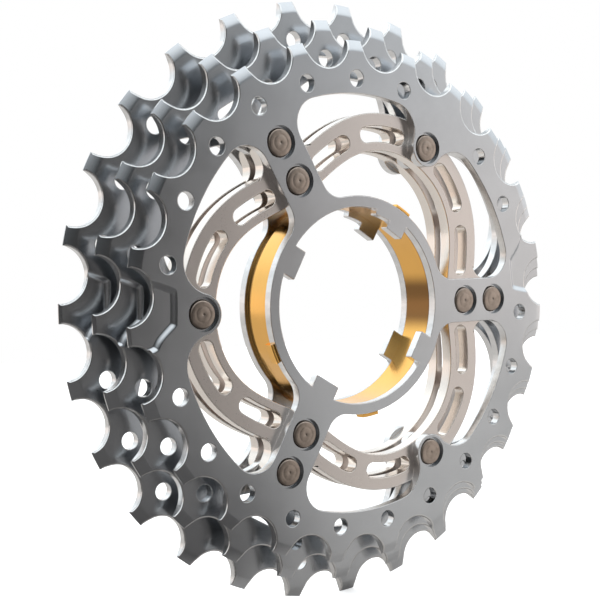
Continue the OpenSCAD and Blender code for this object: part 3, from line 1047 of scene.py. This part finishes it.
class CLUSTER_OT_rivets(bpy.types.Operator):
    """Builds the nine rivets with their turned ends"""

    bl_idname = "cluster.rivets"
    bl_label = "Rivets"

    def execute(self, context):
        sizes = context.scene.cluster_rivets
        nodes = [f"outer_rivet_{i}" for i in range(1, 7)] + [f"inner_rivet_{i}" for i in range(1, 4)]
        # Radius and fall below the shank's end: a centre dimple, a faint dome and one turned ring
        face = (
            (0.0, 0.07), (0.10, 0.07), (0.20, 0.02), (0.32, 0.003), (0.8, 0.008),
            (1.3, 0.02), (1.38, 0.034), (1.46, 0.026), (1.8, 0.038),
        )
        shoulder_fall, merge = 0.055, 1e-7
        for node in nodes:
            low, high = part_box(node)
            centre = (low + high) / 2
            half = (high.y - low.y) / 2 / MM
            end = [(radius, half - fall) for radius, fall in face]
            shoulder = complex(sizes.shank - sizes.edge, half - shoulder_fall - sizes.edge)
            for i in range(7):
                p = shoulder + polar(sizes.edge, 90 - 15 * i)
                end.append((p.real, p.imag))
            profile = [(r, -y) for r, y in end] + [(r, y) for r, y in reversed(end)]
            mesh = lathe_mesh(node + "_turned", profile, count=72)
            built = bmesh.new()
            built.from_mesh(mesh)
            bmesh.ops.remove_doubles(built, verts=built.verts, dist=merge)
            axis_edge = [e for e in built.edges if all(abs(v.co.x) + abs(v.co.z) < merge for v in e.verts)]
            bmesh.ops.delete(built, geom=axis_edge, context="EDGES")
            built.to_mesh(mesh)
            built.free()
            piece = finished_object(node + "_turned", mesh, 40)
            piece.matrix_world = Matrix.Translation(centre)
            dressed(piece, node, "rivet", "turned_bronze")
        return {"FINISHED"}


def shadow_side(finish, direction, middle, reach, fade=18):
    """1 about a heading, where the room is dark, falling to 0 over the last degrees of its reach."""
    centre = polar(1, middle)
    ahead = finish.out(
        "VectorMath", "Value", {"operation": "DOT_PRODUCT"}, {0: direction, 1: (centre.real, centre.imag, 0)}
    )
    return ahead.ramp(math.cos(math.radians(reach)), math.cos(math.radians(reach - fade)))


class CLUSTER_OT_stage(bpy.types.Operator):
    """Sets the floor, the soft surroundings that light the cluster, and the camera"""

    bl_idname = "cluster.stage"
    bl_label = "Stage"

    def execute(self, context):
        scene = context.scene
        floor_mesh = bpy.data.meshes.new("floor")
        half, ground = 0.6, cad_low.z
        corners = [(x * half, y * half, ground) for x, y in ((-1, -1), (1, -1), (1, 1), (-1, 1))]
        floor_mesh.from_pydata(corners, [], [(0, 1, 2, 3)])
        f = Finish(bpy.data.materials.new("pale_floor"))
        glow = {"Emission Color": colours().floor, "Emission Strength": 0.55}
        seen = f.node("LightPath").outputs["Is Camera Ray"]
        pale = f.node("BsdfPrincipled", None, {"Base Color": colours().floor, "Roughness": 0.7, **glow})
        spot = f.node("VectorMath", {"operation": "NORMALIZE"}, {0: f.place()}).outputs[0]
        # In the metal's reflections the floor is duller, and dark on the side that the room shades
        light, dark = (0.56, 0.52, 0.49), (0.12, 0.11, 0.105)
        grey = f.mix(shadow_side(f, spot, middle=-130, reach=77), light, dark)
        dull = f.node("BsdfDiffuse", None, {"Color": grey})
        both = f.node("MixShader", None, {0: seen, 1: dull.outputs[0], 2: pale.outputs[0]})
        f.node("OutputMaterial", None, {"Surface": both.outputs[0]})
        floor_mesh.materials.append(f.owner)
        linked("floor", floor_mesh)

        world = bpy.data.worlds.new("studio")
        scene.world = world
        w = Finish(world)
        direction = w.node("TexCoord").outputs["Generated"]
        height = w.out("SeparateXYZ", "Z", None, {0: direction})
        # The walls fade towards the floor and have one dark side, and the ceiling is brighter
        below, ceiling = 0.25, 0.42
        strength = (below + (1 - below) * height.ramp(-0.75, -0.2)) * (
            1.05 - shadow_side(w, direction, middle=-98, reach=53.5)
        )
        strength = strength + ceiling * height.ramp(0.25, 0.6)
        warm, cool = (1.06, 0.985, 0.94), (0.95, 1.0, 1.03)
        air = w.mix(height.ramp(0.0, 0.3), warm, cool)
        seen = w.node("LightPath").outputs["Is Camera Ray"]
        around = w.node("Background", None, {"Color": air, "Strength": strength})
        behind = w.node("Background", None, {"Color": (1, 1, 1), "Strength": 1.0})
        both = w.node("MixShader", None, {0: seen, 1: around.outputs[0], 2: behind.outputs[0]})
        w.node("OutputWorld", None, {"Surface": both.outputs[0]})

        camera = linked("camera", bpy.data.cameras.new("camera"))
        right, up = (0.82581, -0.56324, -0.02809), (0.08639, 0.07714, 0.99326)
        back = (-0.55728, -0.82268, 0.11237)
        turn = Matrix((right, up, back)).transposed().to_4x4()
        stand = (-0.13740, -0.18478, 0.00835)
        camera.matrix_world = Matrix.Translation(stand) @ turn
        camera.data.lens, camera.data.sensor_width = 72.5, 36
        camera.data.shift_x, camera.data.shift_y = 0.0375, 0.1651
        camera.data.clip_start = 0.005
        scene.camera = camera
        scene.view_settings.view_transform = "Standard"
        return {"FINISHED"}


class CLUSTER_PT_panel(bpy.types.Panel):
    """Lists the pieces of the cluster"""

    bl_idname = "CLUSTER_PT_panel"
    bl_label = "Cassette cluster"
    bl_space_type = "VIEW_3D"
    bl_region_type = "UI"
    bl_category = "Cassette"

    def draw(self, context):
        for operator in OPERATORS:
            self.layout.operator(operator.bl_idname)
        for group in GROUPS:
            box = self.layout.box()
            settings = getattr(context.scene, group)
            for key in settings.__annotations__:
                box.prop(settings, key)


GROUPS = {
    "cluster_teeth": ToothSizes,
    "cluster_windows": WindowSizes,
    "cluster_rivets": RivetSizes,
    "cluster_carriers": CarrierSizes,
    "cluster_spacer": SpacerSizes,
    "cluster_colours": FinishColours,
}
OPERATORS = (
    CLUSTER_OT_front_sprocket,
    CLUSTER_OT_middle_sprocket,
    CLUSTER_OT_rear_sprocket,
    CLUSTER_OT_carriers,
    CLUSTER_OT_spacer_ring,
    CLUSTER_OT_rivets,
    CLUSTER_OT_stage,
)


def register():
    for cls in (*GROUPS.values(), *OPERATORS, CLUSTER_PT_panel):
        bpy.utils.register_class(cls)
    for name, cls in GROUPS.items():
        setattr(bpy.types.Scene, name, PointerProperty(type=cls))


def unregister():
    for name in GROUPS:
        delattr(bpy.types.Scene, name)
    for cls in reversed((*GROUPS.values(), *OPERATORS, CLUSTER_PT_panel)):
        bpy.utils.unregister_class(cls)


def main():
    register()
    for operator in OPERATORS:
        group, name = operator.bl_idname.split(".")
        getattr(getattr(bpy.ops, group), name)()


if __name__ == "__main__":
    main()
